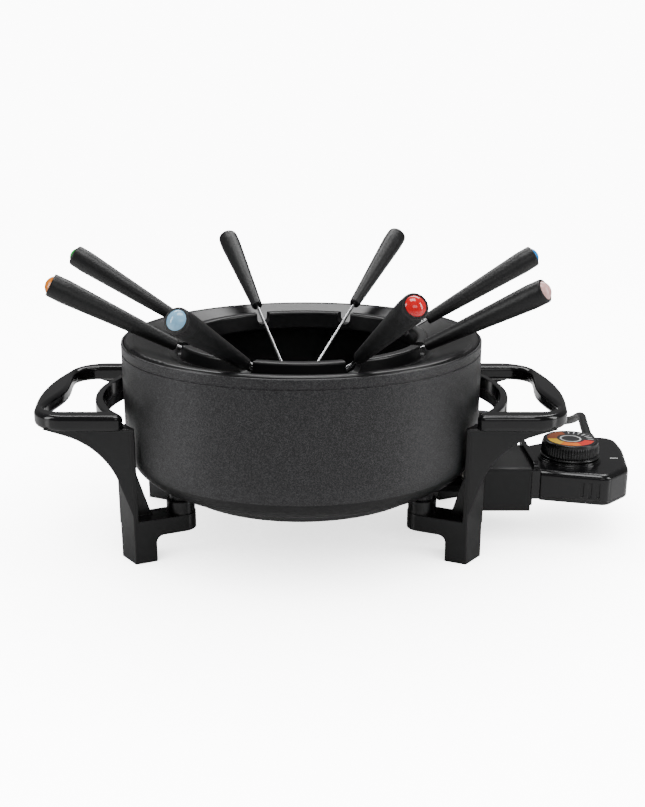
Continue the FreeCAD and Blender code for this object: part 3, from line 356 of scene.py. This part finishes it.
FINISHES = {
    "base_metal": dict(color=(0.022, 0.022, 0.023), rough=0.38, grain_height=0.2),
    "element_steel": dict(color=(0.3, 0.29, 0.28), rough=0.38, metallic=1.0),
    "contact_steel": dict(color=(0.62, 0.62, 0.62), rough=0.25, metallic=1.0),
    "ceramic": dict(color=(0.8, 0.78, 0.72), rough=0.2),
    "socket_black": dict(color=(0.006, 0.006, 0.0065), rough=0.34, grain_height=0.1, dust=0.01,
                         soft_edge=0.0008, specular=0.35),
    "screw_steel": dict(color=(0.5, 0.5, 0.51), rough=0.3, metallic=1.0),
    "ring_coating": dict(color=(0.005, 0.005, 0.0055), rough=0.3, spread=0.05, specular=0.4,
                         grain_scale=1800.0, grain_height=0.04),
    "fork_grip_black": dict(color=(0.006, 0.006, 0.0065), rough=0.4, grain_scale=950.0,
                            grain_height=0.9, specular=0.4),
    "fork_steel": dict(color=(0.66, 0.66, 0.67), rough=0.14, metallic=1.0),
    "case_black": dict(color=(0.004, 0.004, 0.0045), rough=0.18, specular=0.45, dust=0.01,
                       soft_edge=0.0007),
    "contact_brass": dict(color=(0.7, 0.5, 0.22), rough=0.25, metallic=1.0),
    "probe_steel": dict(color=(0.55, 0.55, 0.55), rough=0.28, metallic=1.0),
    "switch_tan": dict(color=(0.4, 0.28, 0.16), rough=0.5),
    "strip_brass": dict(color=(0.66, 0.48, 0.24), rough=0.3, metallic=1.0),
    "mark_white": dict(color=(0.8, 0.8, 0.79), rough=0.5),
    "knob_black": dict(color=(0.006, 0.006, 0.0065), rough=0.28, grain_height=0.05),
    "spindle_steel": dict(color=(0.5, 0.5, 0.5), rough=0.3, metallic=1.0),
    "cord_black": dict(color=(0.007, 0.007, 0.0075), rough=0.42, grain_scale=900.0, grain_height=0.12,
                       specular=0.3),
    "plug_black": dict(color=(0.014, 0.014, 0.015), rough=0.45, grain_scale=1400.0,
                       grain_height=0.2),
    "plug_pin_steel": dict(color=(0.66, 0.64, 0.6), rough=0.2, metallic=1.0),
}
CAPS = {
    "blue": (0.0, 0.3, 0.85), "yellow": (0.9, 0.62, 0.02), "white": (0.85, 0.85, 0.83),
    "green": (0.03, 0.5, 0.08), "orange": (0.95, 0.26, 0.01), "light_blue": (0.3, 0.6, 0.85),
    "red": (0.8, 0.003, 0.008), "pink": (0.95, 0.55, 0.52),
}
materials = {}
for slot_name, recipe in FINISHES.items():
    materials[slot_name] = finish(slot_name, **recipe)[0]
for colour, value in CAPS.items():
    materials["cap_" + colour] = finish("cap_" + colour, value, 0.12, coat=0.5)[0]
print("finishes", len(materials))

# %% [markdown]
# ### Handle plastic
# Each handle frame is one moulding with two finishes: polished grips above, satin legs below. The
# height decides which, with a soft step at the grip's underside.

# %% Handle plastic
SATIN_BELOW = 0.0815    # metres; all satin below here
POLISHED_ABOVE = 0.084
handle_mat, net, bsdf, place = finish("handle_black", (0.004, 0.004, 0.0045), 0.3, dust=0.01,
                                      specular=0.45, soft_edge=0.0009)
height = net.add("ShaderNodeSeparateXYZ", {"Vector": place}).outputs["Z"]
polish = net.add("ShaderNodeMapRange", {"Value": height, "From Min": SATIN_BELOW, "From Max": POLISHED_ABOVE,
                                        "To Min": 0.0, "To Max": 1.0}).outputs["Result"]
satin = net.add("ShaderNodeTexNoise", {"Vector": place, "Scale": 40.0, "Detail": 3.0}).outputs["Fac"]
satin = net.math("ADD", net.math("MULTIPLY", satin, 0.1), 0.26)
gloss = net.math("SUBTRACT", satin, net.math("MULTIPLY", polish, 0.2), True)
net.tree.links.new(gloss, bsdf.inputs["Roughness"])
materials["handle_black"] = handle_mat

# %% [markdown]
# ### Pot coating
# The outside is dark grey with fine flakes. The inside and the ledge are satin black. One material
# does both: it measures its own distance from the pot's axis and switches at the wall.

# %% Pot coating
def radius_from(net, place, x, y):
    """Distance from a vertical axis at x, y in mm, its two parts, and the height."""
    split = net.add("ShaderNodeSeparateXYZ", {"Vector": place})
    centre = at(x, y, 0.0)
    dx = net.math("SUBTRACT", split.outputs["X"], centre.x)
    dy = net.math("SUBTRACT", split.outputs["Y"], centre.y)
    square = net.math("ADD", net.math("MULTIPLY", dx, dx), net.math("MULTIPLY", dy, dy))
    return net.math("SQRT", square), dx, dy, split.outputs["Z"]


WALL_FACE = 0.1078      # metres from the axis; the lip and the outside lie beyond it
UNDERSIDE = 0.0443      # just under the cooking surface
pot_mat, net, bsdf, place = finish("pot_coating", (0.02, 0.02, 0.021), 0.4, metallic=0.35)
r, _, _, height = radius_from(net, place, 0.0, 0.0)
outside = net.math("GREATER_THAN", r, WALL_FACE)
below = net.math("LESS_THAN", height, UNDERSIDE)
outside = net.math("MAXIMUM", outside, below)
specks = net.add("ShaderNodeGroup", node_tree=flakes)
net.tree.links.new(place, specks.inputs["Place"])
specks.inputs["Scale"].default_value = 3400.0
specks.inputs["Share"].default_value = 0.5
glint = net.math("MULTIPLY", net.math("MULTIPLY", specks.outputs["Spark"], outside), 0.09)
coat = net.mix(outside, (0.005, 0.005, 0.0055, 1.0), (0.017, 0.017, 0.018, 1.0))
net.tree.links.new(net.mix(glint, coat, (0.75, 0.75, 0.78, 1.0)), bsdf.inputs["Base Color"])
net.tree.links.new(specks.outputs["Normal"], bsdf.inputs["Normal"])
materials["pot_coating"] = pot_mat

# %% [markdown]
# ### Dial face
# A black disc with a white ring round its centre, heat bands on its left half and plain marks on
# its right. All of it is worked out from the angle and radius about the knob's axis.

# %% Dial face
KNOB = (169.5, -3.4)     # mm about the pot's axis
dial_mat, net, bsdf, place = finish("dial_face", (0.01, 0.01, 0.01), 0.42, specular=0.25)
r, dx, dy, _ = radius_from(net, place, *KNOB)
turn = net.math("DIVIDE", net.math("ARCTAN2", dy, dx), math.pi)      # -1 to 1, 0 along +X


def between(value, low, high):
    """1 where low < value < high."""
    return net.math("MULTIPLY", net.math("GREATER_THAN", value, low), net.math("LESS_THAN", value, high))


def over(color, mask, paint):
    """The colour with paint laid over it where the mask is 1."""
    return net.mix(mask, color, (*paint, 1.0))


face = (0.01, 0.01, 0.011, 1.0)
band = between(r, 0.0085, 0.0145)
color = over(face, net.math("MULTIPLY", band, between(turn, 0.55, 1.01)), (0.26, 0.06, 0.015))
color = over(color, net.math("MULTIPLY", band, between(turn, -1.01, -0.72)), (0.95, 0.55, 0.01))
color = over(color, net.math("MULTIPLY", band, between(turn, -0.72, -0.42)), (0.95, 0.2, 0.005))
color = over(color, net.math("MULTIPLY", band, between(turn, -0.42, -0.12)), (0.7, 0.02, 0.008))
ticks = net.math("FRACT", net.math("MULTIPLY", turn, 12.0))
tick = net.math("MULTIPLY", between(ticks, 0.38, 0.62), between(r, 0.0105, 0.0142))
color = over(color, net.math("MULTIPLY", tick, between(turn, -0.05, 0.5)), (0.75, 0.75, 0.75))
color = over(color, between(r, 0.0057, 0.0066), (0.8, 0.8, 0.8))
net.tree.links.new(color, bsdf.inputs["Base Color"])
materials["dial_face"] = dial_mat

# %% [markdown]
# ## Knob
# The knob is a surface of revolution whose radius also depends on the angle: fine ribs stand on
# its upper part, r = profile(z) + depth * |cos(n a / 2)|, and fade out over the stepped skirt.

# %% Knob
def ribbed(name, centre, rows, ribs, per_rib):
    """Rows are (radius, height, rib depth) in mm from the outside bottom to the inside top."""
    count = ribs * per_rib
    angle = np.linspace(0.0, 2.0 * np.pi, count, endpoint=False)
    rib = np.abs(np.cos(angle * ribs / 2.0))
    grid = []
    for radius, level, depth in rows:
        r = radius + depth * rib
        grid.append(np.stack([r * np.cos(angle), r * np.sin(angle), np.full(count, level)], axis=1))
    points = np.concatenate(grid)
    points[:, 0] += centre[0] + POT_X
    points[:, 1] += centre[1] + POT_Y
    first = np.arange(count)
    second = (first + 1) % count
    ring = np.stack([first, second, second + count, first + count], axis=1)
    starts = np.arange(len(rows) - 1) * count
    faces = (ring[None, :, :] + starts[:, None, None]).reshape(-1, 4).tolist()
    mesh = bpy.data.meshes.new(name)
    mesh.from_pydata((points * MM).tolist(), [], faces)
    mesh.shade_smooth()
    obj = bpy.data.objects.new(name, mesh)
    bpy.context.scene.collection.objects.link(obj)
    return obj


knob_rows = [
    (6.0, 48.7, 0.0), (17.9, 48.7, 0.0), (18.15, 48.9, 0.0), (18.15, 49.6, 0.0), (17.8, 49.9, 0.0),
    (17.4, 50.0, 0.0), (17.3, 50.2, 0.0), (17.3, 50.5, 0.2), (17.3, 50.9, 0.65), (17.25, 51.6, 0.75),
    (17.0, 56.2, 0.75), (16.9, 56.9, 0.6), (16.95, 57.25, 0.15), (17.1, 57.5, 0.0),
    (17.1, 58.6, 0.0), (16.95, 59.05, 0.0), (16.5, 59.35, 0.0), (16.15, 59.4, 0.0),
    (15.95, 59.3, 0.0), (15.9, 58.9, 0.0), (15.9, 58.6, 0.0),
]
RIBS = 62
POINTS_PER_RIB = 6
knob_piece = ribbed("knob_shown", KNOB, knob_rows, RIBS, POINTS_PER_RIB)
knob_piece.data.materials.append(materials["knob_black"])
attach(knob_piece, "dial")
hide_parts("knob")
print("knob faces", len(knob_piece.data.polygons))

# %% [markdown]
# ## Putting the finishes on
# Every CAD piece keeps its shape and only changes its material. The record says which slot each
# piece has, so one loop serves them all.

# %% Give every CAD node the finish of its own slot
for row in frame["record"]["subparts"]:
    node = frame["nodes"][row["node"]]
    node.data.materials.clear()
    node.data.materials.append(materials[row["material_slot"]])
power_cord.data.materials.append(materials["cord_black"])
